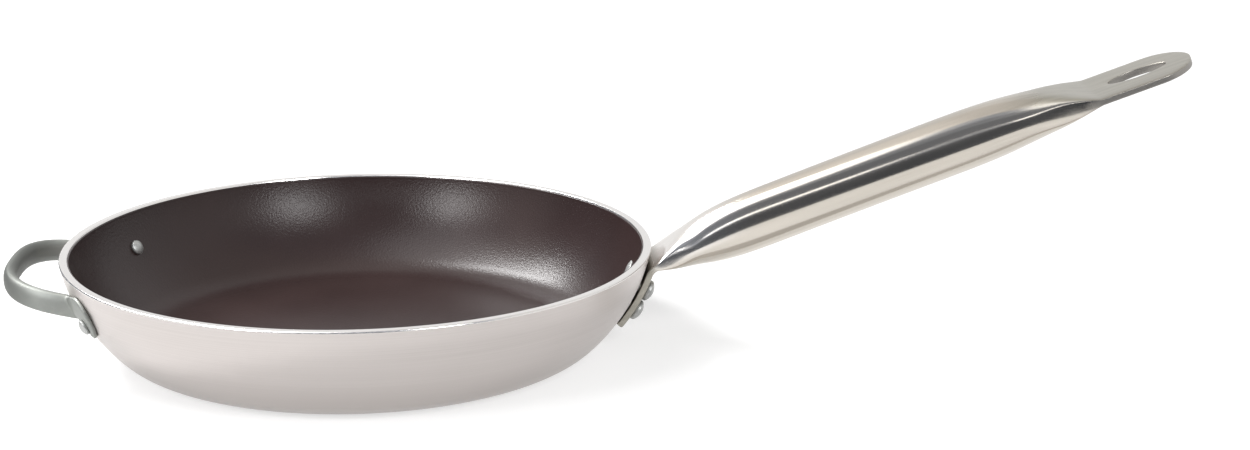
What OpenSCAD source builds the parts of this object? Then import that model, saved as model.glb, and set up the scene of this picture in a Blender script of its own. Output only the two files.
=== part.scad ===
// Omelette pan: a pressed aluminium pan with a non-stick lining, a long handle pressed from
// one stainless steel tube, a bent helper handle opposite it, and the rivets that hold them.
// Origin at the centre of the base, on the surface the pan stands on. +Z is up and the long
// handle points along +X. All sizes are in millimetres and all angles in degrees.

/* [Pan] */
// Outer diameter of the rim
rim_d = 360; // [300:5:400]
// Height of the pan from the base to the rim
pan_h = 64; // [54:1:72]
// Thickness of the pressed aluminium
wall_t = 5; // [3:0.5:6]
// Lean of the wall at the rim, measured from upright
rim_flare = 11; // [6:1:16]
// Radius of the curve that the wall follows from the rim down
wall_r = 103; // [92:1:120]
// Radius of the corner between the wall and the base
corner_r = 35; // [28:1:42]
// Chamfer on both edges of the bare rim
rim_chamfer = 0.6; // [0.2:0.1:1.2]
// Thickness of the non-stick lining
lining_t = 0.3; // [0.2:0.1:0.6]

/* [Long handle] */
// Diameter at the root of the tapered round tube that the handle is pressed from
tube_root_d = 30.2; // [29:0.1:32]
// Diameter of that tube where the flat tip starts
tube_tip_d = 38; // [35:0.5:40]
// Wall of that tube
tube_t = 2; // [1.5:0.1:2.1]
// Thickness of the tube where it is pressed flat
flat_t = 4.6; // [4.3:0.1:5]
// Height of the grip at its fullest
grip_h = 37; // [30:0.5:40]
// Length of the handle from the bend at the pan to the tip
handle_l = 349; // [310:1:380]
// Rise of the handle above level
handle_rise = 20.8; // [10:0.2:28]
// Angle that the handle turns down by along its length, which bows it
handle_bow = 1.8; // [1:0.2:8]
// Length over which the tube swells from the flat root to the full grip
root_swell = 92; // [70:1:104]
// Length over which the grip is pressed down to the flat tip
tip_press = 119; // [100:1:124]
// Length of the flat tip
tip_flat = 62.5; // [60:0.5:70]
// Length of the rounded end of the tip
tip_round = 25; // [18:1:28]

/* [Hanging slot] */
// Length of the slot
slot_l = 37; // [25:1:38]
// Width of the slot
slot_w = 18; // [12:1:22]
// Radius of the slot's ends
slot_end_r = 5; // [3:0.5:5]
// Metal left between the slot and the tip
slot_margin = 15; // [12:1:18]

/* [Riveting plate] */
// Depth below the rim at which the handle bends into its plate
root_drop = 16.2; // [12:0.2:18]
// Radius of that bend, measured at the middle of the metal
bend_r = 8; // [6:0.5:12]
// Length of the plate down the pan's wall
plate_l = 37.5; // [35:0.5:40]
// Corner radius of the plate's lower end
plate_corner_r = 3; // [2:0.5:6]
// Gap left between the plate and the wall along the middle of the plate
seat_gap = 0.03; // [0.02:0.01:0.1]

/* [Handle rivets] */
// Diameter of the rivets' shanks
rivet_d = 6; // [5:0.5:7]
// Diameter of the rivets' heads outside
rivet_head_d = 13; // [11:0.1:13.2]
// Height of the rivets' heads outside
rivet_head_h = 5; // [2:0.1:5.5]
// Diameter of the rivets' heads inside the pan
rivet_inner_d = 12; // [10:0.5:13]
// Height of the rivets' heads inside the pan
rivet_inner_h = 2; // [1.5:0.1:3]
// Distance from the bend to the upper pair of rivets
rivet_first = 10.5; // [9:0.5:11]
// Distance from the upper pair of rivets to the lower pair
rivet_pitch = 13.5; // [13.5:0.5:15.5]
// Distance from the rivets' middles to the plate's long edges
rivet_edge = 7.6; // [7:0.2:12]

/* [Helper handle] */
// Thickness of the bar, in the plane of the loop
bar_w = 8.6; // [7.5:0.1:10]
// Height of the bar
bar_h = 13.8; // [10:0.1:15]
// Reach of the loop from the wall, to the middle of the bar
loop_reach = 45.5; // [40:0.5:60]
// Width of the loop where it meets the pan, between the middles of the bar
loop_w = 113; // [100:1:130]
// Rise of the loop above level
loop_rise = 11; // [0:1:20]
// Depth of the bar's middle below the rim where it meets the pan
loop_drop = 21.4; // [19:0.2:23]
// Squareness of the loop, where 2 is an ellipse
loop_square = 2.75; // [2:0.05:3]
// Thickness of the flat ears
ear_t = 2.5; // [2:0.5:4]
// Radius of the ears' lower rounds, about their rivets
ear_r = 9; // [8:0.5:10]
// Radius of the ears' upper rounds
ear_top_r = 13; // [11:0.5:14]
// Distance from the ears' rivets up to the middles of those rounds
ear_up = 6; // [4:0.5:8]
// Distance along the wall from the middle of the bar's end to its ear's rivet
ear_side = 26; // [22:0.5:28]
// Distance of the ears' rivets below the middle of the bar's ends
ear_below = 4.6; // [3:0.2:6]
// Diameter of the ears' rivet shanks
ear_rivet_d = 5; // [4:0.5:6]
// Diameter of the ears' rivet heads
ear_head_d = 9.5; // [8:0.5:12]
// Height of the ears' rivet heads
ear_head_h = 3.3; // [2:0.1:4]

/* [Hidden] */

turn_fn = 360;
arc_fn = 96;
hole_fn = 48;
ring_n = 36;
bore_n = 28;
bar_n = 16;
over = 1;

aluminium = [0.86, 0.85, 0.83];
lining = [0.24, 0.20, 0.20];
steel = [0.75, 0.74, 0.72];
satin_steel = [0.60, 0.62, 0.60];
rivet_metal = [0.70, 0.72, 0.73];

// The wall is one arc that leans out by rim_flare at the rim, and it runs into the corner's arc
rim_r = rim_d / 2;
wall_c = [rim_r - wall_r * cos(rim_flare), pan_h + wall_r * sin(rim_flare)];
foot_flare = asin((wall_c.y - corner_r) / (wall_r - corner_r));
corner_c = [wall_c.x + (wall_r - corner_r) * cos(foot_flare), corner_r];
lap = over * [sin(foot_flare), cos(foot_flare)];
far = 3 * rim_d;

// A point outside the wall by out, where the wall leans out by flare
function wall_point(out, flare) =
    [wall_c.x + (wall_r + out) * cos(flare), wall_c.y - (wall_r + out) * sin(flare)];

// The lean of the surface outside the wall by out, at a depth below the rim
function flare_at(out, depth) = asin((wall_c.y - pan_h + depth) / (wall_r + out));

// Half of the section inside the wall's outer face, moved in by inset
module section_inside(inset) {
    intersection() {
        union() {
            polygon([[0, inset], [corner_c.x, inset], corner_c + lap, wall_c + lap,
                [0, wall_c.y]]);
            translate(corner_c) circle(corner_r - inset, $fn = arc_fn);
            intersection() {
                translate(wall_c) circle(wall_r - inset, $fn = 4 * arc_fn);
                polygon([wall_c, wall_c + far * [cos(foot_flare), -sin(foot_flare)],
                    wall_c + [far, 0]]);
            }
        }
        translate([0, -far]) square([far, far + pan_h]);
    }
}

module solid_inside(inset) {
    rotate_extrude($fn = turn_fn) section_inside(inset);
}

// The long handle's middle line: down the wall, round the bend and along the bowed grip
plate_out = seat_gap + flat_t / 2;
plate_top_flare = flare_at(plate_out, root_drop);
plate_end_flare = plate_top_flare + plate_l / (wall_r + plate_out) * 180 / PI;
root_slope = handle_rise + handle_bow / 2;
plate_slope = 90 - plate_top_flare;
bow_r = handle_l / (handle_bow * PI / 180);
bend_start = wall_point(plate_out, plate_top_flare);
bend_end = bend_start + bend_r * [sin(plate_slope) - sin(root_slope),
    cos(root_slope) - cos(plate_slope)];

function grip_slope(s) = root_slope - s / bow_r * 180 / PI;
function grip_point(s) = bend_end + bow_r * [sin(root_slope) - sin(grip_slope(s)),
    cos(grip_slope(s)) - cos(root_slope)];

flat_start = handle_l - tip_flat;
function clamp(u) = min(1, max(0, u));
function swell(u) = 1 - pow(1 - pow(clamp(u), 1.2), 4.5);
function half_height(s) = flat_t / 2 + (grip_h - flat_t) / 2
    * swell(s / root_swell) * swell((flat_start - s) / tip_press);

// The tube's diameter grows evenly from the root to the flat tip. Pressing it keeps its girth, so
// half a width is what half the round of the tube leaves past two quarter rounds of height h.
function tube_at(s) = tube_root_d + (tube_tip_d - tube_root_d) * clamp(s / flat_start);
function pressed_width(s, h) = h + PI / 2 * (tube_at(s) / 2 - h);
function end_taper(s) = sqrt(1 - pow(clamp((s - handle_l + tip_round) / tip_round), 2));

// A rounded section: an ellipse where the tube is full, nearly a flat strip where it is pressed
function squareness(w, h) = 2 + 10 * pow(max(0, (w - h) / w), 3);
function power(v, e) = sign(v) * pow(abs(v), e);
function section(n, w, h, e) = [for (i = [0:n - 1])
    [w * power(cos(360 * i / n), 2 / e), h * power(sin(360 * i / n), 2 / e)]];

// A ring of points across the middle line at p, where that line slopes up by slope
function ring(p, slope, w, h, e, n) = [for (q = section(n, w, h, e))
    [p.x - q.y * sin(slope), q.x, p.y + q.y * cos(slope)]];

module loft(rings, n) {
    count = len(rings);
    skin = [for (j = [0:count - 2]) for (i = [0:n - 1]) for (half = [0, 1])
        half == 0 ? [j * n + i, (j + 1) * n + i, (j + 1) * n + (i + 1) % n]
        : [j * n + i, (j + 1) * n + (i + 1) % n, j * n + (i + 1) % n]];
    first_cap = [for (i = [1:n - 2]) [0, i, i + 1]];
    last = (count - 1) * n;
    last_cap = [for (i = [1:n - 2]) [last, last + i + 1, last + i]];
    polyhedron(points = [for (r = rings) each r], faces = concat(skin, first_cap, last_cap));
}

plate_w = pressed_width(0, flat_t / 2);
function corner_width(d) = plate_w - plate_corner_r
    + sqrt(pow(plate_corner_r, 2) - pow(plate_corner_r - min(d, plate_corner_r), 2));
function plate_ring(d) = let (flare = plate_end_flare - d / (wall_r + plate_out) * 180 / PI,
    w = corner_width(d)) ring(wall_point(plate_out, flare), 90 - flare, w, flat_t / 2,
    squareness(w, flat_t / 2), ring_n);
function bend_ring(u) = let (slope = plate_slope + u * (root_slope - plate_slope))
    ring(bend_start + bend_r * [sin(plate_slope) - sin(slope), cos(slope) - cos(plate_slope)],
    slope, plate_w, flat_t / 2, squareness(plate_w, flat_t / 2), ring_n);
function grip_ring(s) = let (h = half_height(s), full_w = pressed_width(s, h))
    ring(grip_point(s), grip_slope(s), full_w * end_taper(s), h, squareness(full_w, h), ring_n);
function bore_ring(s) = let (h = half_height(s) - tube_t,
    w = pressed_width(s, h + tube_t) - tube_t)
    ring(grip_point(s), grip_slope(s), w, h, squareness(w, h), bore_n);

// Where the rings stand: down the corner, along the swell and along the pressed end
plate_steps = [for (u = [0:0.25:1]) plate_corner_r * (1 - cos(90 * u) + (1 - u) / 12)];
grip_steps = root_swell * [0.015, 0.035, 0.065, 0.1, 0.145, 0.2, 0.275, 0.37, 0.5, 0.68];
press_steps = tip_press * [0.72, 0.54, 0.41, 0.31, 0.23, 0.165, 0.115, 0.075, 0.045, 0.02, 0];

module handle_body() {
    straight = [for (k = [1:4]) plate_corner_r + (plate_l - plate_corner_r) * k / 4];
    grip_mid = [for (k = [0:4]) root_swell + (flat_start - tip_press - root_swell) * k / 4];
    tip_end = [for (u = [0:15:75]) handle_l - tip_round * (1 - sin(u))];
    tip_last = handle_l - tip_round * (1 - sin(85));
    loft(concat([for (d = plate_steps) plate_ring(d)],
        [for (d = straight) plate_ring(d)],
        [for (k = [1:6]) bend_ring(k / 6)],
        [for (s = grip_steps) grip_ring(s)],
        [for (s = grip_mid) grip_ring(s)],
        [for (d = press_steps) grip_ring(flat_start - d)],
        [for (s = tip_end) grip_ring(s)],
        [grip_ring(tip_last)]), ring_n);
}

// The tube is open inside from just past the root to just short of the flat tip
module handle_bore() {
    grip_mid = [for (k = [0:3]) root_swell + (flat_start - tip_press - root_swell) * k / 3];
    loft(concat([for (s = grip_steps) if (s > root_swell / 20) bore_ring(s)],
        [for (s = grip_mid) bore_ring(s)],
        [for (d = press_steps) if (d > tip_press / 15) bore_ring(flat_start - d)]), bore_n);
}

// A slot with round ends and bulged sides, centred on the origin
module slot_outline() {
    half_l = slot_l / 2;
    half_w = slot_w / 2;
    end_x = half_l - slot_end_r;
    side_r = (half_l * half_l + half_w * half_w - 2 * half_l * slot_end_r)
        / (2 * (half_w - slot_end_r));
    side_y = side_r - half_w;
    touch_x = end_x * side_r / (side_r - slot_end_r);
    for (side = [-1, 1]) translate([side * end_x, 0]) circle(slot_end_r, $fn = arc_fn);
    intersection() {
        translate([0, -side_y]) circle(side_r, $fn = arc_fn);
        translate([0, side_y]) circle(side_r, $fn = arc_fn);
        square([2 * touch_x, 2 * slot_w], center = true);
    }
}

module hanging_slot() {
    s = handle_l - slot_margin - slot_l / 2;
    p = grip_point(s);
    translate([p.x, 0, p.y]) rotate([0, -grip_slope(s), 0])
        translate([0, 0, -flat_t]) linear_extrude(2 * flat_t) slot_outline();
}

// Places its children on the plate's outer face at rivet row 0 or 1, pointing out of the pan
module at_handle_rivet(row, side) {
    flare = plate_top_flare
        + (rivet_first + row * rivet_pitch) / (wall_r + plate_out) * 180 / PI;
    p = wall_point(seat_gap + flat_t, flare);
    translate([p.x, side * (plate_w - rivet_edge), p.y]) rotate([0, 90 + flare, 0]) children();
}

// Places its children on an ear's outer face at its rivet, pointing out of the pan
ear_flare = flare_at(ear_t, loop_drop + ear_below);
loop_wall_r = wall_point(0, flare_at(0, loop_drop)).x;
ear_angle = asin(loop_w / 2 / loop_wall_r) + ear_side / loop_wall_r * 180 / PI;
module at_ear_rivet(side) {
    p = wall_point(ear_t, ear_flare);
    rotate([0, 0, 180 - side * ear_angle]) translate([p.x, 0, p.y])
        rotate([0, 90 + ear_flare, 0]) children();
}

// A low round head that stands on z = 0 and reaches down by root to be cut to its seat
module rivet_head(d, h, root) {
    dome_r = (d * d / 4 + h * h / 4) / h;
    rotate_extrude($fn = hole_fn) intersection() {
        translate([0, -root]) square([d / 2, root + h]);
        translate([0, h - dome_r]) circle(dome_r, $fn = arc_fn);
    }
}

grip_through = flat_t + wall_t + lining_t;
ear_through = ear_t + wall_t + lining_t;

module handle_holes() {
    for (row = [0, 1]) for (side = [-1, 1]) at_handle_rivet(row, side)
        translate([0, 0, -2 * grip_through]) cylinder(h = 3 * grip_through, d = rivet_d,
            $fn = hole_fn);
}

module ear_holes() {
    for (side = [-1, 1]) at_ear_rivet(side)
        translate([0, 0, -2 * ear_through]) cylinder(h = 3 * ear_through, d = ear_rivet_d,
            $fn = hole_fn);
}

module rim_chamfers(inset) {
    for (edge = [[rim_r, 1], [wall_c.x + sqrt(pow(wall_r - inset, 2)
        - pow(wall_c.y - pan_h, 2)), -1]])
        translate([edge[0], pan_h]) rotate(45) square(rim_chamfer * sqrt(2), center = true);
}

module pan_body() {
    color(aluminium) difference() {
        rotate_extrude($fn = turn_fn) difference() {
            section_inside(0);
            section_inside(wall_t);
            rim_chamfers(wall_t);
        }
        handle_holes();
        ear_holes();
    }
}

module nonstick_lining() {
    color(lining) difference() {
        rotate_extrude($fn = turn_fn) difference() {
            section_inside(wall_t);
            section_inside(wall_t + lining_t);
            translate([0, pan_h - rim_chamfer]) square([far, far]);
        }
        handle_holes();
        ear_holes();
    }
}

module long_handle() {
    color(steel) difference() {
        handle_body();
        handle_bore();
        hanging_slot();
        handle_holes();
    }
}

// The rivets' heads are upset against the plate outside and the lining inside
module handle_rivet(row, side) {
    color(rivet_metal) {
        difference() {
            at_handle_rivet(row, side) rivet_head(rivet_head_d, rivet_head_h, over);
            translate([wall_c.x, 0, wall_c.y]) rotate([90, 0, 0])
                cylinder(r = wall_r + seat_gap + flat_t, h = rim_d, center = true,
                    $fn = turn_fn);
        }
        at_handle_rivet(row, side) translate([0, 0, -grip_through - rivet_inner_h / 2])
            cylinder(h = grip_through + rivet_inner_h / 2 + rivet_head_h / 2, d = rivet_d,
                $fn = hole_fn);
        intersection() {
            at_handle_rivet(row, side) translate([0, 0, -grip_through - seat_gap - over])
                mirror([0, 0, 1]) rivet_head(rivet_inner_d, rivet_inner_h, 2 * over);
            solid_inside(wall_t + lining_t);
        }
    }
}

module helper_rivet(side) {
    color(rivet_metal) {
        difference() {
            at_ear_rivet(side) rivet_head(ear_head_d, ear_head_h, over);
            solid_inside(-ear_t);
        }
        at_ear_rivet(side) translate([0, 0, -ear_through - ear_head_h / 2])
            cylinder(h = ear_through + ear_head_h, d = ear_rivet_d, $fn = hole_fn);
        intersection() {
            at_ear_rivet(side) translate([0, 0, -ear_through])
                mirror([0, 0, 1]) rivet_head(ear_head_d, ear_head_h, over);
            solid_inside(wall_t + lining_t);
        }
    }
}

// The loop's middle line, where t turns from one end at 0 to the other at 180
loop_wall_x = -sqrt(loop_wall_r * loop_wall_r - loop_w * loop_w / 4);
function loop_xy(t) = [loop_wall_x - loop_reach * power(sin(t), 2 / loop_square),
    -loop_w / 2 * power(cos(t), 2 / loop_square)];
function loop_z(x) = pan_h - loop_drop + (loop_wall_x - x) * tan(loop_rise);

// Each ring of the bar stands square to the line's direction seen from above
function bar_ring(p, way) = let (z = loop_z(p.x)) [for (q = section(bar_n, bar_w / 2,
    bar_h / 2, 2.3)) [p.x - q.x * way.y, p.y + q.x * way.x, z + q.y]];
function unit(v) = v / norm(v);
loop_turns = [3, 9, 16, 24, 33, 43, 54, 66, 78, 90, 102, 114, 126, 137, 147, 156, 164, 171, 177];
bar_sink = bar_w;

module helper_bar() {
    first = loop_xy(0);
    last = loop_xy(180);
    loft(concat([bar_ring([first.x + bar_sink, first.y], [-1, 0]), bar_ring(first, [-1, 0])],
        [for (t = loop_turns) bar_ring(loop_xy(t), unit(loop_xy(t + 1) - loop_xy(t - 1)))],
        [bar_ring(last, [1, 0]), bar_ring([last.x + bar_sink, last.y], [1, 0])]), bar_n);
}

// An ear spreads from the bar's end to an upper round and, below it, a round about its rivet
module helper_ear(side) {
    intersection() {
        at_ear_rivet(side) translate([0, 0, -wall_t]) linear_extrude(wall_t + 2 * ear_t) hull() {
            circle(ear_r, $fn = arc_fn);
            translate([-ear_up, 0]) circle(ear_top_r, $fn = arc_fn);
            translate([-ear_below, side * ear_side])
                square([0.9 * bar_h, bar_w], center = true);
        }
        solid_inside(-ear_t);
    }
}

module helper_handle() {
    color(satin_steel) difference() {
        union() {
            helper_bar();
            for (side = [-1, 1]) helper_ear(side);
        }
        solid_inside(0);
        ear_holes();
    }
}

pan_body();
nonstick_lining();
long_handle();
helper_handle();
handle_rivet(0, -1);  // handle_rivet_upper_right
handle_rivet(0, 1);  // handle_rivet_upper_left
handle_rivet(1, -1);  // handle_rivet_lower_right
handle_rivet(1, 1);  // handle_rivet_lower_left
helper_rivet(-1);  // helper_rivet_right
helper_rivet(1);  // helper_rivet_left
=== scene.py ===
import bmesh
import bpy
from math import asin, atan2, cos, degrees, hypot, pi, radians, sin, sqrt, tan
from mathutils import Matrix, Vector


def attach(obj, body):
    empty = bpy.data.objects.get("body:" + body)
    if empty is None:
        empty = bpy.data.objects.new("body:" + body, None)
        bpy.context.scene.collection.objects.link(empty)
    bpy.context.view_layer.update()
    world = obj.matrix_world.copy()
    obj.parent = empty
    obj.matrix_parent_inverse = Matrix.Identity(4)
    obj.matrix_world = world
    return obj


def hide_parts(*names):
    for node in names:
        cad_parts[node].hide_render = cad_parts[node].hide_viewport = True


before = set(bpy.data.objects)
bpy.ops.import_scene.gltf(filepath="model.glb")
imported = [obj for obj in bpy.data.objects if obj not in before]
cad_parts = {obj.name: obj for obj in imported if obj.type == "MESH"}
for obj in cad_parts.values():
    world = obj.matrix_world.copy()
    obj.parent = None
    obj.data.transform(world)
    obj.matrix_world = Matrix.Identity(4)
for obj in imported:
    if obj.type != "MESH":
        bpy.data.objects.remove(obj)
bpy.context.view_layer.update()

scene = bpy.context.scene
scene.view_settings.view_transform = "Standard"

# Camera
CAMERA_DOWN, CAMERA_TURN = 15.13, -2.25

cam_data = bpy.data.cameras.new("camera")
cam_data.lens = 72
cam_data.sensor_width = 36
camera = bpy.data.objects.new("camera", cam_data)
camera.location = (0.1056, -1.4842, 0.4758)
camera.rotation_euler = (radians(90 - CAMERA_DOWN), 0, radians(CAMERA_TURN))
scene.collection.objects.link(camera)
scene.camera = camera

# The scene is in metres, and the sizes below are in millimetres and degrees.
MM = 0.001

# Pan
RIM_R, PAN_H, WALL_T, LINING_T = 180, 64, 5, 0.3
RIM_FLARE, WALL_R, CORNER_R = 11, 103, 35
RIM_OUTER_SOFT, RIM_INNER_SOFT = 1.1, 0.7
LIP_DROP = 0.75

# Long handle
ROOT_DROP, BEND_R, PLATE_L, SEAT, FLAT_T = 16.2, 8, 37.5, 0.03, 4.6
RISE, BOW, HANDLE_L, ROOT_SWELL = 20.8, 1.8, 349, 92
TIP_PRESS, TIP_FLAT, TIP_ROUND = 119, 62.5, 25
GRIP_H, ROOT_D, TIP_D = 37, 30.2, 38
PLATE_CORNER_R, END_SOFT, END_EDGE = 3.0, 0.5, 0.72
SLOT_L, SLOT_W, SLOT_R, SLOT_MARGIN, SLOT_SOFT = 37, 18, 5, 15, 0.5

# Helper handle
BAR_W, BAR_H, REACH, LOOP_W = 8.6, 13.8, 45.5, 113
LOOP_RISE, LOOP_DROP, LOOP_SQUARE, BAR_SQUARE = 11, 21.4, 2.75, 2.3
EAR_T, EAR_R, EAR_TOP_R, EAR_UP, EAR_SIDE, EAR_BELOW = 2.5, 9, 13, 6, 26, 4.6
BAR_SUNK, EAR_SUNK, BAR_FOOT = 6, 0.6, 0.45

# Rivets
RIVET_D, RIVET_HEAD_D, RIVET_HEAD_H, RIVET_INNER_D, RIVET_INNER_H = 6, 13, 5, 12, 2
RIVET_FIRST, RIVET_PITCH, RIVET_EDGE = 10.5, 13.5, 7.6
EAR_RIVET_D, EAR_HEAD_D, EAR_HEAD_H = 5, 9.5, 3.3
HEAD_SOFT, HEAD_SUNK = 0.35, 0.4

# How finely the shapes are divided
PAN_TURN, RIVET_TURN, TOOL_TURN = 360, 72, 240
CORNER_STEPS, WALL_STEPS = 24, 60
TUBE_POINTS, BAR_POINTS, FINE_POINTS = 128, 48, 720
CORNER_RINGS, PLATE_RINGS, BEND_RINGS = 8, 14, 12


# Meshes
def add_mesh(name, points, faces, smooth=True):
    """A new object from points in millimetres, its seams joined and its faces outwards."""
    mesh = bpy.data.meshes.new(name)
    mesh.from_pydata([(x * MM, y * MM, z * MM) for x, y, z in points], [], faces)
    mesh.update()
    obj = bpy.data.objects.new(name, mesh)
    scene.collection.objects.link(obj)
    work = bmesh.new()
    work.from_mesh(mesh)
    bmesh.ops.remove_doubles(work, verts=work.verts, dist=1e-7)
    bmesh.ops.recalc_face_normals(work, faces=work.faces)
    work.to_mesh(mesh)
    work.free()
    for face in mesh.polygons:
        face.use_smooth = smooth
    return obj


def revolve(profile, count):
    """Points and faces of a closed profile of (radius, height) turned about Z."""
    points = []
    for k in range(count):
        a = 2 * pi * k / count
        points += [(r * cos(a), r * sin(a), z) for r, z in profile]
    n = len(profile)
    faces = []
    for k in range(count):
        nxt = (k + 1) % count
        for i in range(n - 1):
            faces.append((k * n + i, nxt * n + i, nxt * n + i + 1, k * n + i + 1))
    return points, faces


def loft(rings):
    """Points and faces of a solid through rings of equal counts, closed at both ends."""
    points = [p for ring in rings for p in ring]
    n = len(rings[0])
    faces = []
    for j in range(len(rings) - 1):
        for i in range(n):
            k = (i + 1) % n
            faces.append((j * n + i, (j + 1) * n + i, (j + 1) * n + k, j * n + k))
    faces.append(tuple(range(n)))
    faces.append(tuple((len(rings) - 1) * n + i for i in range(n)))
    return points, faces


def on_circle(centre, radius, angle):
    """A point on a circle in a plane, at an angle in degrees."""
    return (centre[0] + radius * cos(radians(angle)), centre[1] + radius * sin(radians(angle)))


def arc(centre, radius, start, end, steps):
    """Points on a circle in a plane, from one angle to another."""
    return [on_circle(centre, radius, start + (end - start) * k / steps)
            for k in range(steps + 1)]


def power(value, exponent):
    """The size of a value raised to a power, with the value's sign."""
    return abs(value) ** exponent * (1 if value >= 0 else -1)


def clamp(u):
    return min(1, max(0, u))


def use_modifier(obj, kind, **settings):
    """Adds a modifier to an object and applies it."""
    mod = obj.modifiers.new(kind.lower(), kind)
    for key, value in settings.items():
        setattr(mod, key, value)
    bpy.context.view_layer.objects.active = obj
    for other in bpy.context.selected_objects:
        other.select_set(False)
    obj.select_set(True)
    bpy.ops.object.modifier_apply(modifier=mod.name)


def combine(obj, tool, operation):
    """Cuts a tool from an object or joins it on, and deletes the tool."""
    use_modifier(obj, "BOOLEAN", object=tool, operation=operation, solver="EXACT")
    bpy.data.objects.remove(tool)


# The pan's wall: one curve from the rim down, and a tighter one into the base
WALL_C = (RIM_R - WALL_R * cos(radians(RIM_FLARE)), PAN_H + WALL_R * sin(radians(RIM_FLARE)))
FOOT = degrees(asin((WALL_C[1] - CORNER_R) / (WALL_R - CORNER_R)))
CORNER_C = (WALL_C[0] + (WALL_R - CORNER_R) * cos(radians(FOOT)), CORNER_R)
BASE_RADII = (0, 30, 60, 90, 115)


def wall_point(out, flare):
    """The point off the wall by some millimetres, where the wall leans by flare."""
    return on_circle(WALL_C, WALL_R + out, -flare)


def flare_at(out, depth):
    """The lean at a point off the wall, from its depth below the rim."""
    return degrees(asin((WALL_C[1] - PAN_H + depth) / (WALL_R + out)))


def skin(inset):
    """The outline inside the wall's outer face by inset, from the axis to the rim."""
    return ([(r, inset) for r in BASE_RADII]
            + arc(CORNER_C, CORNER_R - inset, -90, -FOOT, CORNER_STEPS)
            + arc(WALL_C, WALL_R - inset, -FOOT, -flare_at(-inset, 0), WALL_STEPS)[1:])


def round_rim(outer, inner, outer_soft, inner_soft):
    """Joins two outlines over a rim with both of its edges rounded."""
    clear = 1.3
    up = [p for p in outer if p[1] < PAN_H - clear * outer_soft]
    down = [p for p in inner if p[1] < PAN_H - clear * inner_soft][::-1]
    a, b = outer[-1][0] - outer_soft, inner[-1][0] + inner_soft
    flat = [(a + (b - a) * k / 5, PAN_H) for k in range(1, 5)]
    return (up + arc((a, PAN_H - outer_soft), outer_soft, 0, 90, 8) + flat
            + arc((b, PAN_H - inner_soft), inner_soft, 90, 180, 6) + down)


outer_skin, inner_skin = skin(0), skin(WALL_T)
profile = round_rim(outer_skin, inner_skin, RIM_OUTER_SOFT, RIM_INNER_SOFT)
pan = add_mesh("pan_shell", *revolve(profile, PAN_TURN))

# The coating's lip lies just below the rim, with its edge softened.
lip = PAN_H - LIP_DROP
inside = [p for p in skin(WALL_T + LINING_T) if p[1] < lip - 0.2]
outside = [p for p in inner_skin if p[1] < lip - 0.1]
profile = inside + [(inside[-1][0] + 0.1, lip)] + outside[::-1]
coating = add_mesh("coating", *revolve(profile, PAN_TURN))

# Long handle: the same lines as in the CAD part, with many more rings
plate_out = SEAT + FLAT_T / 2
top_flare = flare_at(plate_out, ROOT_DROP)
end_flare = top_flare + degrees(PLATE_L / (WALL_R + plate_out))
root_slope = RISE + BOW / 2
plate_slope = 90 - top_flare
bow_r = HANDLE_L / radians(BOW)
flat_start = HANDLE_L - TIP_FLAT
bend_0 = wall_point(plate_out, top_flare)


def on_turn(start, radius, a, b):
    """The point where a line that starts at slope a has turned down to slope b."""
    return (start[0] + radius * (sin(radians(a)) - sin(radians(b))),
            start[1] + radius * (cos(radians(b)) - cos(radians(a))))


bend_1 = on_turn(bend_0, BEND_R, plate_slope, root_slope)


def grip_slope(s):
    return root_slope - degrees(s / bow_r)


def grip_point(s):
    return on_turn(bend_1, bow_r, root_slope, grip_slope(s))


def swell(u):
    """A rise from 0 to 1 that starts fast and ends softly."""
    return 1 - (1 - clamp(u) ** 1.2) ** 4.5


def half_height(s):
    """Half the tube's height at a distance along the handle from the bend."""
    full = swell(s / ROOT_SWELL) * swell((flat_start - s) / TIP_PRESS)
    return FLAT_T / 2 + (GRIP_H - FLAT_T) / 2 * full


def pressed_width(s, h):
    """Half the tube's width there, which keeps the girth as the height changes."""
    radius = (ROOT_D + (TIP_D - ROOT_D) * clamp(s / flat_start)) / 2
    return h + pi / 2 * (radius - h)


def squareness(w, h):
    """The exponent of a section: 2 for an ellipse, and higher the flatter it is."""
    return 2 + 10 * max(0, (w - h) / w) ** 3


def section(count, w, h, e):
    """A rounded section whose points share out both its girth and its turning evenly."""
    line = []
    for k in range(FINE_POINTS):
        a = 2 * pi * k / FINE_POINTS
        line.append((w * power(cos(a), 2 / e), h * power(sin(a), 2 / e)))
    steps = [(q[0] - p[0], q[1] - p[1]) for p, q in zip(line, line[1:] + line[:1])]
    girth = sum(hypot(*step) for step in steps)
    run = [0]
    for k in range(FINE_POINTS):
        a, b = steps[k - 1], steps[k]
        turn = abs(atan2(a[0] * b[1] - a[1] * b[0], a[0] * b[0] + a[1] * b[1]))
        run.append(run[-1] + hypot(*b) / girth + turn / (2 * pi))
    out, j = [], 0
    for i in range(count):
        goal = run[-1] * i / count
        while run[j + 1] < goal:
            j += 1
        f = (goal - run[j]) / (run[j + 1] - run[j])
        p, q = line[j], line[(j + 1) % FINE_POINTS]
        out.append((p[0] + (q[0] - p[0]) * f, p[1] + (q[1] - p[1]) * f))
    return out


def handle_ring(p, slope, w, h, e):
    """A section of the handle, square to its slope."""
    c, s = cos(radians(slope)), sin(radians(slope))
    return [(p[0] - v * s, u, p[1] + v * c) for u, v in section(TUBE_POINTS, w, h, e)]


plate_w = pressed_width(0, FLAT_T / 2)


def flat_ring(p, slope, narrow=0.0, edge=1.0):
    """A ring of the plate or the bend, narrower and thinner at the plate's rounded end."""
    w = plate_w - narrow
    return handle_ring(p, slope, w, FLAT_T / 2 * edge, squareness(w, FLAT_T / 2))


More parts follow.
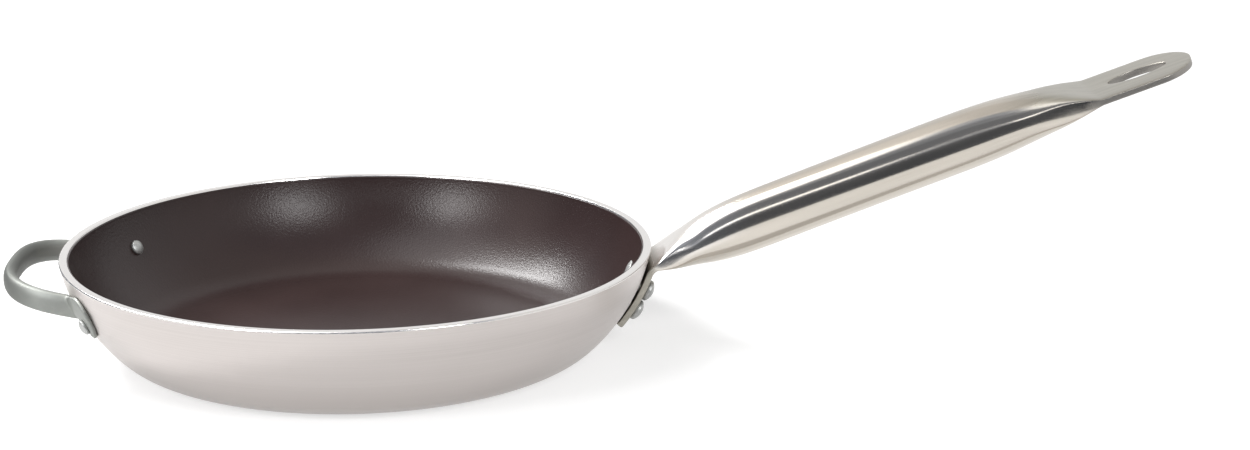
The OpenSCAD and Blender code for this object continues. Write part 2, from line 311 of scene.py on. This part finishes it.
def plate_ring(up, narrow=0.0, edge=1.0):
    """A ring of the plate at a distance up the wall from its lower end."""
    flare = end_flare - degrees(up / (WALL_R + plate_out))
    return flat_ring(wall_point(plate_out, flare), 90 - flare, narrow, edge)


rings = []
for k in range(CORNER_RINGS + 1):
    d = PLATE_CORNER_R * (1 - cos(radians(90 * k / CORNER_RINGS)))
    narrow = PLATE_CORNER_R - sqrt(PLATE_CORNER_R ** 2 - (PLATE_CORNER_R - d) ** 2)
    edge = min(1, END_EDGE + (1 - END_EDGE) * sqrt(clamp(d / END_SOFT)))
    rings.append(plate_ring(d, narrow, edge))
for k in range(1, PLATE_RINGS + 1):
    rings.append(plate_ring(PLATE_CORNER_R + (PLATE_L - PLATE_CORNER_R) * k / PLATE_RINGS))
for k in range(1, BEND_RINGS + 1):
    slope = plate_slope + (root_slope - plate_slope) * k / BEND_RINGS
    rings.append(flat_ring(on_turn(bend_0, BEND_R, plate_slope, slope), slope))

# Rings along the tube: close together where it swells and where it is pressed flat
stations = [1.2 * k for k in range(1, 30)] + [36 + 3.4 * k for k in range(39)]
stations += [flat_start - 118 + 2.0 * k for k in range(1, 60)]
stations = sorted(set(round(s, 3) for s in stations if s < flat_start - 0.3))
stations += [flat_start, flat_start + 5, HANDLE_L - TIP_ROUND]
stations += [HANDLE_L - TIP_ROUND * (1 - sin(radians(a))) for a in range(6, 90, 4)]
for s in stations:
    h = half_height(s)
    full = pressed_width(s, h)
    w = full * sqrt(max(0, 1 - clamp((s - HANDLE_L + TIP_ROUND) / TIP_ROUND) ** 2))
    rings.append(handle_ring(grip_point(s), grip_slope(s), w, h, squareness(full, h)))
handle = add_mesh("tube_handle", *loft(rings))


def slot_line(grow):
    """The slot's outline, grown by some millimetres: round ends joined by bulged sides."""
    half_l, half_w = SLOT_L / 2, SLOT_W / 2
    end_x = half_l - SLOT_R
    side_r = (half_l ** 2 + half_w ** 2 - 2 * half_l * SLOT_R) / (2 * (half_w - SLOT_R))
    side_y = side_r - half_w
    turn = degrees(atan2(side_y, end_x))
    line = arc((end_x, 0), SLOT_R + grow, -turn, turn, 24)
    line += arc((0, -side_y), side_r + grow, turn, 180 - turn, 28)[1:-1]
    return line + [(-x, -y) for x, y in line]


slot_s = HANDLE_L - SLOT_MARGIN - SLOT_L / 2
slot_p, slot_a = grip_point(slot_s), radians(grip_slope(slot_s))


def to_slot(x, y, z):
    c, s = cos(slot_a), sin(slot_a)
    return (slot_p[0] + x * c - z * s, y, slot_p[1] + x * s + z * c)


# The slot's tool widens towards both faces, so that the slot's edges are rounded.
past = 2
flank = [(FLAT_T / 2 + past, SLOT_SOFT + past - 0.6)]
flank += [(FLAT_T / 2 - SLOT_SOFT * (1 - cos(radians(a))) + 0.001,
           SLOT_SOFT * (1 - sin(radians(a)))) for a in (0, 22, 45, 67, 90)]
levels = [(-z, grow) for z, grow in flank] + flank[::-1]
slot_rings = [[to_slot(x, y, z) for x, y in slot_line(grow)] for z, grow in levels]
combine(handle, add_mesh("slot_tool", *loft(slot_rings), smooth=False), "DIFFERENCE")
handle.data.set_sharp_from_angle(angle=radians(38))

# Helper handle: an oval bar and two ears, joined and softened where they meet
loop_r = wall_point(0, flare_at(0, LOOP_DROP))[0]
loop_x = -sqrt(loop_r ** 2 - LOOP_W ** 2 / 4)
ear_flare = flare_at(EAR_T, LOOP_DROP + EAR_BELOW)
ear_angle = degrees(asin(LOOP_W / 2 / loop_r) + EAR_SIDE / loop_r)


def loop_xy(t):
    """The middle of the bar, from one ear at 0 degrees to the other at 180."""
    return (loop_x - REACH * power(sin(radians(t)), 2 / LOOP_SQUARE),
            -LOOP_W / 2 * power(cos(radians(t)), 2 / LOOP_SQUARE))


def bar_ring(p, way):
    """A section of the bar, square to its way and raised with the loop."""
    z = PAN_H - LOOP_DROP + (loop_x - p[0]) * tan(radians(LOOP_RISE))
    return [(p[0] - u * way[1], p[1] + u * way[0], z + v)
            for u, v in section(BAR_POINTS, BAR_W / 2, BAR_H / 2, BAR_SQUARE)]


def unit(a, b):
    size = hypot(b[0] - a[0], b[1] - a[1])
    return ((b[0] - a[0]) / size, (b[1] - a[1]) / size)


turns = [1.5, 3, 5, 7.5] + [10 + 2.5 * k for k in range(65)] + [172.5, 175, 177, 178.5]
first, last = loop_xy(0), loop_xy(180)
rings = [bar_ring((first[0] + BAR_SUNK, first[1]), (-1, 0)), bar_ring(first, (-1, 0))]
rings += [bar_ring(loop_xy(t), unit(loop_xy(t - 0.4), loop_xy(t + 0.4))) for t in turns]
rings += [bar_ring(last, (1, 0)), bar_ring((last[0] + BAR_SUNK, last[1]), (1, 0))]
helper = add_mesh("helper_bar", *loft(rings))


def on_wall(out, flare, turn, side):
    """The frame of a rivet: on a surface off the wall, with Z pointing out of it."""
    p = wall_point(out, flare)
    return (Matrix.Rotation(radians(turn), 4, "Z") @ Matrix.Translation((p[0], side, p[1]))
            @ Matrix.Rotation(radians(90 + flare), 4, "Y"))


def ear_matrix(side):
    return on_wall(EAR_T, ear_flare, 180 - side * ear_angle, 0)


def hull_of(spots):
    """The outline round a set of flat points."""
    spots = sorted(set(spots))

    def half(line):
        out = []
        for p in line:
            while len(out) > 1 and ((out[-1][0] - out[-2][0]) * (p[1] - out[-2][1])
                                    - (out[-1][1] - out[-2][1]) * (p[0] - out[-2][0])) <= 0:
                out.pop()
            out.append(p)
        return out[:-1]

    return half(spots) + half(spots[::-1])


def ear_rings(side):
    """An ear laid flat over the wall: its outline, and smaller copies of it inside."""
    spots = []
    for x, r in ((0, EAR_R), (-EAR_UP, EAR_TOP_R)):
        for a in range(0, 360, 6):
            p = on_circle((x, 0), r, a)
            spots.append((round(p[0], 4), round(p[1], 4)))
    spots += [(-EAR_BELOW + x * BAR_FOOT * BAR_H, side * EAR_SIDE + y * BAR_W / 2)
              for x in (-1, 1) for y in (-1, 1)]
    line = hull_of(spots)
    centre = (sum(x for x, y in line) / len(line), sum(y for x, y in line) / len(line))
    turn = ear_matrix(side)
    return [[turn @ Vector((centre[0] + (x - centre[0]) * share,
                            centre[1] + (y - centre[1]) * share, 0)) for x, y in line]
            for share in (0.0001, 0.25, 0.5, 0.75, 1.0)]


def press(p, out):
    """Moves a point straight to the surface off the wall by some millimetres."""
    r = hypot(p.x, p.y)
    f = (WALL_R + out) / hypot(r - WALL_C[0], p.z - WALL_C[1])
    r2 = WALL_C[0] + (r - WALL_C[0]) * f
    return (p.x * r2 / r, p.y * r2 / r, WALL_C[1] + (p.z - WALL_C[1]) * f)


def ear_solid(side):
    """The ear's flat outline pressed to the wall, inside and out."""
    flat = ear_rings(side)
    inner, outer = [[[press(p, out) for p in ring] for ring in flat]
                    for out in (-EAR_SUNK, EAR_T)]
    return add_mesh("ear_tool", *loft(inner + outer[::-1]))


for side in (-1, 1):
    combine(helper, ear_solid(side), "UNION")
above = PAN_H + 8
profile = ([(0, 0)] + outer_skin[len(BASE_RADII):]
           + [(outer_skin[-1][0] + 1.4, above), (0, above)])
combine(helper, add_mesh("wall_tool", *revolve(profile, TOOL_TURN)), "DIFFERENCE")
use_modifier(helper, "REMESH", mode="VOXEL", voxel_size=0.0007)
use_modifier(helper, "SMOOTH", factor=0.5, iterations=7)
for face in helper.data.polygons:
    face.use_smooth = True


# Rivets: steep heads with a low dome, and the shank between them
def head(d, h):
    """Half the outline of a head, from below its edge to its middle."""
    r = d / 2
    dome_r = (r * r + h * h / 4) / h
    dome_z = h - dome_r
    side_h = dome_z + sqrt(dome_r ** 2 - r * r)
    line = [(r, -HEAD_SUNK), (r, side_h - HEAD_SOFT)]
    line += [(r - HEAD_SOFT * (1 - cos(radians(a))),
              side_h - HEAD_SOFT + HEAD_SOFT * 1.15 * sin(radians(a))) for a in (20, 40, 60)]
    line += [(r * k / 14, dome_z + sqrt(dome_r ** 2 - (r * k / 14) ** 2))
             for k in range(13, -1, -1)]
    return line


def rivet(name, place, head_d, head_h, shank_d, through, inner_d, inner_h):
    inner = [(r, -through - z) for r, z in head(inner_d, inner_h)]
    shank = [(shank_d / 2, -HEAD_SUNK), (shank_d / 2, -through + HEAD_SUNK)]
    points, faces = revolve(head(head_d, head_h)[::-1] + shank + inner, RIVET_TURN)
    return add_mesh(name, [tuple(place @ Vector(p)) for p in points], faces)


HANDS = ((-1, "right"), (1, "left"))
rivets = []
for row, level in ((0, "upper"), (1, "lower")):
    for side, hand in HANDS:
        down = RIVET_FIRST + RIVET_PITCH * row
        flare = top_flare + degrees(down / (WALL_R + plate_out))
        place = on_wall(SEAT + FLAT_T, flare, 0, side * (plate_w - RIVET_EDGE))
        obj = rivet(f"rivet_{level}_{hand}", place, RIVET_HEAD_D, RIVET_HEAD_H, RIVET_D,
                    FLAT_T + WALL_T + LINING_T, RIVET_INNER_D, RIVET_INNER_H)
        rivets.append((obj, [f"handle_rivet_{level}_{hand}"], "rivet_metal"))
for side, hand in HANDS:
    obj = rivet(f"ear_rivet_{hand}", ear_matrix(side), EAR_HEAD_D, EAR_HEAD_H, EAR_RIVET_D,
                EAR_T + WALL_T + LINING_T, EAR_HEAD_D, EAR_HEAD_H)
    rivets.append((obj, [f"helper_rivet_{hand}"], "rivet_metal"))

pieces = [(pan, ["pan_body"], "pan_aluminium"), (coating, ["nonstick_lining"], "nonstick"),
          (handle, ["long_handle"], "handle_steel"),
          (helper, ["helper_handle"], "helper_steel")]
for obj, stands_for, slot in pieces + rivets:
    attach(obj, "root")
    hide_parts(*stands_for)


# Materials
class Shader:
    """A node material, with short ways to add nodes and join them."""

    def __init__(self, name):
        self.mat = bpy.data.materials.new(name)
        self.mat.use_nodes = True
        self.tree = self.mat.node_tree
        self.bsdf = self.tree.nodes["Principled BSDF"]
        self.coord = self.node("ShaderNodeTexCoord").outputs["Object"]
        self.x, self.y, self.z = self.parts(self.coord)

    def node(self, kind, **settings):
        n = self.tree.nodes.new(kind)
        for key, value in settings.items():
            setattr(n, key, value)
        return n

    def link(self, a, b):
        self.tree.links.new(a, b)

    def put(self, value, socket):
        if isinstance(value, (int, float, tuple)):
            socket.default_value = value
        else:
            self.link(value, socket)

    def parts(self, vector):
        n = self.node("ShaderNodeSeparateXYZ")
        self.link(vector, n.inputs[0])
        return n.outputs

    def math(self, op, a, b=0.0):
        n = self.node("ShaderNodeMath", operation=op)
        self.put(a, n.inputs[0])
        self.put(b, n.inputs[1])
        return n.outputs[0]

    def times(self, a, b):
        return self.math("MULTIPLY", a, b)

    def stretched(self, x, y, z):
        """A place to read a texture at, from three pairs of a coordinate and its scale."""
        n = self.node("ShaderNodeCombineXYZ")
        for (value, scale), socket in zip((x, y, z), n.inputs):
            self.link(self.times(value, scale), socket)
        return n.outputs[0]

    def noise(self, at, scale, detail, rough):
        n = self.node("ShaderNodeTexNoise")
        self.link(at, n.inputs["Vector"])
        n.inputs["Scale"].default_value = scale
        n.inputs["Detail"].default_value = detail
        n.inputs["Roughness"].default_value = rough
        return n.outputs["Fac"]

    def span(self, value, a, b, lo, hi, smooth=False):
        """Maps a value from a..b to lo..hi, and holds it at lo and hi outside them."""
        n = self.node("ShaderNodeMapRange")
        if smooth:
            n.interpolation_type = "SMOOTHSTEP"
        self.link(value, n.inputs["Value"])
        for key, v in (("From Min", a), ("From Max", b), ("To Min", lo), ("To Max", hi)):
            n.inputs[key].default_value = v
        return n.outputs["Result"]

    def ease(self, value, a, b):
        """A mask that rises smoothly from 0 at a to 1 at b."""
        return self.span(value, a, b, 0.0, 1.0, smooth=True)

    def mix(self, f, a, b):
        n = self.node("ShaderNodeMix", data_type="RGBA")
        self.link(f, n.inputs["Factor"])
        self.put(a, n.inputs[6])
        self.put(b, n.inputs[7])
        return n.outputs[2]

    def bump(self, height, strength, distance):
        n = self.node("ShaderNodeBump")
        n.inputs["Strength"].default_value = strength
        n.inputs["Distance"].default_value = distance
        self.link(height, n.inputs["Height"])
        return n.outputs["Normal"]

    def finish(self, **sockets):
        for key, value in sockets.items():
            self.put(value, self.bsdf.inputs[key.replace("_", " ")])
        return self.mat


def rgb(r, g, b):
    return (r, g, b, 1)


def pan_metal(name, dark, light, rough, streak):
    """Spun metal, with fine lines round the pan, and painted shade darkening it towards the
    base.
    """
    s = Shader(name)
    radius = s.math("SQRT", s.math("ADD", s.times(s.x, s.x), s.times(s.y, s.y)))
    run = s.math("ADD", radius, s.z)
    lines = s.noise(s.stretched((s.x, 5), (s.y, 5), (run, 1500)), 1, 4, 0.6)
    wide = s.noise(s.stretched((s.x, 9), (s.y, 9), (run, 90)), 1, 3, 0.5)
    tone = s.span(s.math("ADD", s.times(lines, 0.7), s.times(wide, 0.3)), 0.35, 0.65, 0.62, 1)
    # Painted shade: the colour darkens from 34 mm down to 4 mm above the base.
    color = s.mix(s.times(tone, s.ease(s.z, 0.004, 0.034)), dark, light)
    return s.finish(Base_Color=color, Metallic=1.0, Anisotropic=0.35,
                    Roughness=s.span(wide, 0.3, 0.7, rough - 0.03, rough + 0.05),
                    Normal=s.bump(lines, streak, 0.00004))


def coating_material():
    """A dark coating with a fine pebbled grain."""
    s = Shader("nonstick")
    grain = s.node("ShaderNodeTexVoronoi", feature="SMOOTH_F1")
    s.link(s.coord, grain.inputs["Vector"])
    grain.inputs["Scale"].default_value = 850
    fine = s.noise(s.coord, 1900, 2, 0.5)
    height = s.math("SUBTRACT", s.times(fine, 0.5), grain.outputs["Distance"])
    cloud = s.noise(s.coord, 12, 3, 0.5)
    color = s.mix(s.span(cloud, 0.35, 0.65, 0, 1),
                  rgb(0.0245, 0.0132, 0.0127), rgb(0.0310, 0.0172, 0.0165))
    return s.finish(Base_Color=color, Roughness=s.span(cloud, 0.3, 0.7, 0.27, 0.31),
                    Normal=s.bump(height, 0.5, 0.00016), Specular_IOR_Level=0.32)


def tube_metal():
    """Tube polished along its length, with matt flats, rough sheared edges and a painted
    highlight on top near the pan.
    """
    s = Shader("handle_steel")
    c, d = cos(radians(RISE)), sin(radians(RISE))
    along = s.math("ADD", s.times(s.x, c), s.times(s.z, d))
    up = s.math("SUBTRACT", s.times(s.z, c), s.times(s.x, d))
    fine = s.noise(s.stretched((along, 14), (s.y, 1700), (up, 1700)), 1, 3, 0.6)
    wide = s.noise(s.stretched((along, 7), (s.y, 260), (up, 260)), 1, 3, 0.55)
    facing = s.parts(s.node("ShaderNodeTexCoord").outputs["Normal"])[2]

    # The upper face of the tip and the plate are matt.
    tip = s.times(s.ease(along, 0.412, 0.452), s.ease(facing, 0.30, 0.75))
    dull = s.math("MAXIMUM", tip, s.ease(s.x, 0.186, 0.178))

    # The tip's edges are sheared: along its sides, and past the start of its round end.
    side_edge = s.span(s.math("ABSOLUTE", s.y), 0.0250, 0.0284, 0.0, 1.0)
    edge = s.math("MAXIMUM", side_edge, s.ease(along, 0.474, 0.482))
    beyond = s.times(s.span(along, 0.400, 0.430, 0.0, 1.0), edge)
    sheared = s.times(beyond, s.ease(facing, 0.70, 0.35))

    # Painted highlight: the top of the swelling next to the pan is made the brightest.
    painted_top_highlight = s.times(s.span(s.x, 0.200, 0.250, 1.0, 0.0, smooth=True),
                     s.ease(up, -0.020, -0.014))
    tone = s.span(wide, 0.3, 0.7, 0, 1)
    bright = s.mix(tone, rgb(0.49, 0.455, 0.405), rgb(0.56, 0.52, 0.465))
    bright = s.mix(painted_top_highlight, bright, rgb(0.74, 0.71, 0.68))
    matt = s.mix(tone, rgb(0.30, 0.284, 0.246), rgb(0.39, 0.372, 0.325))
    color = s.mix(sheared, s.mix(dull, bright, matt), rgb(0.30, 0.285, 0.265))
    rough = s.math("ADD", s.span(dull, 0, 1, 0.14, 0.30), s.span(wide, 0.3, 0.7, -0.02, 0.03))
    rough = s.math("MAXIMUM", rough, s.times(sheared, 0.42))
    return s.finish(Base_Color=color, Metallic=1.0, Roughness=rough,
                    Normal=s.bump(fine, 0.05, 0.00003))


def cloudy_metal(name, cloud_scale, detail, dark, light, metallic, rough, grain, end_painted_shade=None):
    """Worn metal with soft clouds, a fine grain, and where asked painted shade at one end."""
    s = Shader(name)
    cloud = s.noise(s.coord, cloud_scale, detail, 0.6)
    fine_scale, fine_detail, strength = grain
    fine = s.noise(s.coord, fine_scale, fine_detail, 0.5)
    color = s.mix(s.span(cloud, 0.3, 0.7, 0, 1), dark, light)
    # Painted shade: towards lower X the colour fades to the given dark one.
    if end_painted_shade:
        color = s.mix(s.ease(s.x, *end_painted_shade[1:]), end_painted_shade[0], color)
    return s.finish(Base_Color=color, Metallic=metallic,
                    Roughness=s.span(cloud, 0.3, 0.7, *rough),
                    Normal=s.bump(fine, strength, 0.00005))


pan.data.materials.append(pan_metal("pan_aluminium", rgb(0.415, 0.382, 0.364),
                                    rgb(0.545, 0.508, 0.490), 0.33, 0.30))
pan.data.materials.append(pan_metal("rim_aluminium", rgb(0.68, 0.66, 0.64),
                                    rgb(0.75, 0.73, 0.715), 0.17, 0.20))
for face in pan.data.polygons:
    if face.center.z > (PAN_H - RIM_OUTER_SOFT) * MM:
        face.material_index = 1
coating.data.materials.append(coating_material())
handle.data.materials.append(tube_metal())
# The helper's outer end is darkened with painted shade.
helper.data.materials.append(cloudy_metal(
    "helper_steel", 60, 5, rgb(0.25, 0.26, 0.245), rgb(0.32, 0.33, 0.31), 0.85,
    (0.54, 0.62), (1600, 3, 0.08), (rgb(0.098, 0.102, 0.095), -0.214, -0.182)))
rivet_mat = cloudy_metal(
    "rivet_metal", 220, 4, rgb(0.36, 0.365, 0.355), rgb(0.48, 0.485, 0.475), 0.8,
    (0.42, 0.50), (2200, 2, 0.10))
for obj, *_ in rivets:
    obj.data.materials.append(rivet_mat)


# Floor and world
def quad(name, corners, mat):
    mesh = bpy.data.meshes.new(name)
    mesh.from_pydata(corners, [], [(0, 1, 2, 3)])
    obj = bpy.data.objects.new(name, mesh)
    scene.collection.objects.link(obj)
    mesh.materials.append(mat)
    return obj


def seen_rays(tree):
    """1 for camera, glossy and transmission rays, otherwise 0."""
    path = tree.nodes.new("ShaderNodeLightPath")
    total = path.outputs["Is Camera Ray"]
    for key in ("Is Glossy Ray", "Is Transmission Ray"):
        add = tree.nodes.new("ShaderNodeMath")
        add.operation = "MAXIMUM"
        tree.links.new(total, add.inputs[0])
        tree.links.new(path.outputs[key], add.inputs[1])
        total = add.outputs[0]
    return total


def floor_material():
    """A pale floor that keeps shadows, with a glow for seen rays that grows outwards."""
    s = Shader("floor")
    s.finish(Base_Color=rgb(0.48, 0.48, 0.48), Roughness=1.0, Specular_IOR_Level=0.0)
    away = s.node("ShaderNodeVectorMath", operation="LENGTH")
    s.link(s.coord, away.inputs[0])
    level = s.span(away.outputs["Value"], 0.7, 2.6, 0.62, 0.93)
    glow = s.node("ShaderNodeEmission")
    glow.inputs["Color"].default_value = rgb(1, 1, 1)
    s.link(s.times(seen_rays(s.tree), level), glow.inputs["Strength"])
    both = s.node("ShaderNodeAddShader")
    s.link(s.bsdf.outputs[0], both.inputs[0])
    s.link(glow.outputs[0], both.inputs[1])
    s.link(both.outputs[0], s.tree.nodes["Material Output"].inputs["Surface"])
    return s.mat


quad("floor", [(-9, -9, 0), (9, -9, 0), (9, 9, 0), (-9, 9, 0)], floor_material())

world = bpy.data.worlds.new("world")
scene.world = world
world.use_nodes = True
tree = world.node_tree
sky = tree.nodes["Background"]
sky.inputs["Color"].default_value = rgb(1, 1, 1)
level = tree.nodes.new("ShaderNodeMapRange")
level.inputs["To Min"].default_value = 0.20
level.inputs["To Max"].default_value = 1.0
tree.links.new(seen_rays(tree), level.inputs["Value"])
tree.links.new(level.outputs["Result"], sky.inputs["Strength"])


# Lamps: name, place, size, radiance, shape and the point that each faces
def lamp(name, spot, size, radiance, shape="RECTANGLE", target=(0, 0, 0.04)):
    data = bpy.data.lights.new(name, "AREA")
    data.shape = shape
    data.size, data.size_y = size
    area = size[0] * size[1] * (pi / 4 if shape == "ELLIPSE" else 1)
    data.energy = radiance * pi * area
    obj = bpy.data.objects.new(name, data)
    obj.location = spot
    obj.rotation_euler = (Vector(target) - Vector(spot)).to_track_quat("-Z", "Y").to_euler()
    scene.collection.objects.link(obj)


lamp("front_right", (0.83, -1.28, 0.96), (0.42, 0.64), 15.6)
lamp("front_left", (-1.06, -1.14, 0.93), (0.42, 0.64), 17.2)
lamp("overhead", (-0.74, -0.36, 1.50), (1.26, 1.22), 2.3, "ELLIPSE", (-0.74, -0.36, 0))
lamp("back_left", (-1.20, 0.90, 1.34), (0.46, 0.56), 28.0)
lamp("back_mid", (-0.84, 0.46, 1.46), (0.50, 0.50), 21.0)
lamp("strip", (-0.39, -1.36, 0.70), (1.02, 0.10), 3.6, "RECTANGLE", (-0.39, 0, 0.70))


# Cards: faintly glowing sheets round the studio, which only reflections see; the one under the
# handle is a painted shadow
def card(name, radiance, color, corners):
    mat = bpy.data.materials.new(name)
    mat.use_nodes = True
    tree = mat.node_tree
    glow = tree.nodes.new("ShaderNodeEmission")
    glow.inputs["Color"].default_value = color
    glow.inputs["Strength"].default_value = radiance
    tree.links.new(glow.outputs[0], tree.nodes["Material Output"].inputs["Surface"])
    obj = quad(name, corners, mat)
    obj.visible_camera = False
    obj.visible_diffuse = False
    obj.visible_shadow = False


def across(x0, x1, y0, z0, y1, z1):
    """The corners of a card between two lines that run along X."""
    return [(x0, y0, z0), (x1, y0, z0), (x1, y1, z1), (x0, y1, z1)]


cool, warm = rgb(0.82, 0.88, 1), rgb(1, 0.975, 0.94)
FRONT, LEFT, RIGHT, TOP = -1.40, -1.8, 1.8, 1.62
EDGE, BACK, MIDDLE = -0.32, 1.20, -0.06
STRIP, UNDER = -1.39, 0.001
for name, radiance, color, corners in (
        ("card_floor", 0.13, cool, across(LEFT, RIGHT, FRONT, 0.002, -0.36, 0.002)),
        ("card_low", 0.13, cool, across(LEFT, RIGHT, FRONT, 0, FRONT, 0.56)),
        ("card_halo", 0.34, cool, across(LEFT, RIGHT, FRONT, 0.56, FRONT, 0.84)),
        ("card_high", 0.27, cool, across(LEFT, RIGHT, FRONT, 0.84, -1.30, 1.70)),
        ("card_top", 0.40, cool, across(LEFT, RIGHT, -1.30, 1.70, -0.70, TOP)),
        ("card_edge", 0.62, cool, across(LEFT, RIGHT, -0.70, TOP, EDGE, TOP)),
        ("card_ceiling_left", 1.15, warm, across(LEFT, MIDDLE, EDGE, TOP, BACK, TOP)),
        ("card_ceiling_right", 0.90, warm, across(MIDDLE, RIGHT, EDGE, TOP, BACK, TOP)),
        ("card_strip", 0.50, cool, across(0.12, 0.70, STRIP, 0.64, STRIP, 0.76)),
        ("card_left", 0.32, cool, [(LEFT, 0.1, 0), (LEFT, 3.2, 0),
                                   (LEFT, 3.2, 1.05), (LEFT, 0.1, 1.05)]),
        # The dimmer sheet under the handle is a painted shadow of the handle on the floor.
        ("card_painted_shadow", 0.78, warm, across(0.20, 0.62, -0.060, UNDER, -0.022, UNDER))):
    card(name, radiance, color, corners)
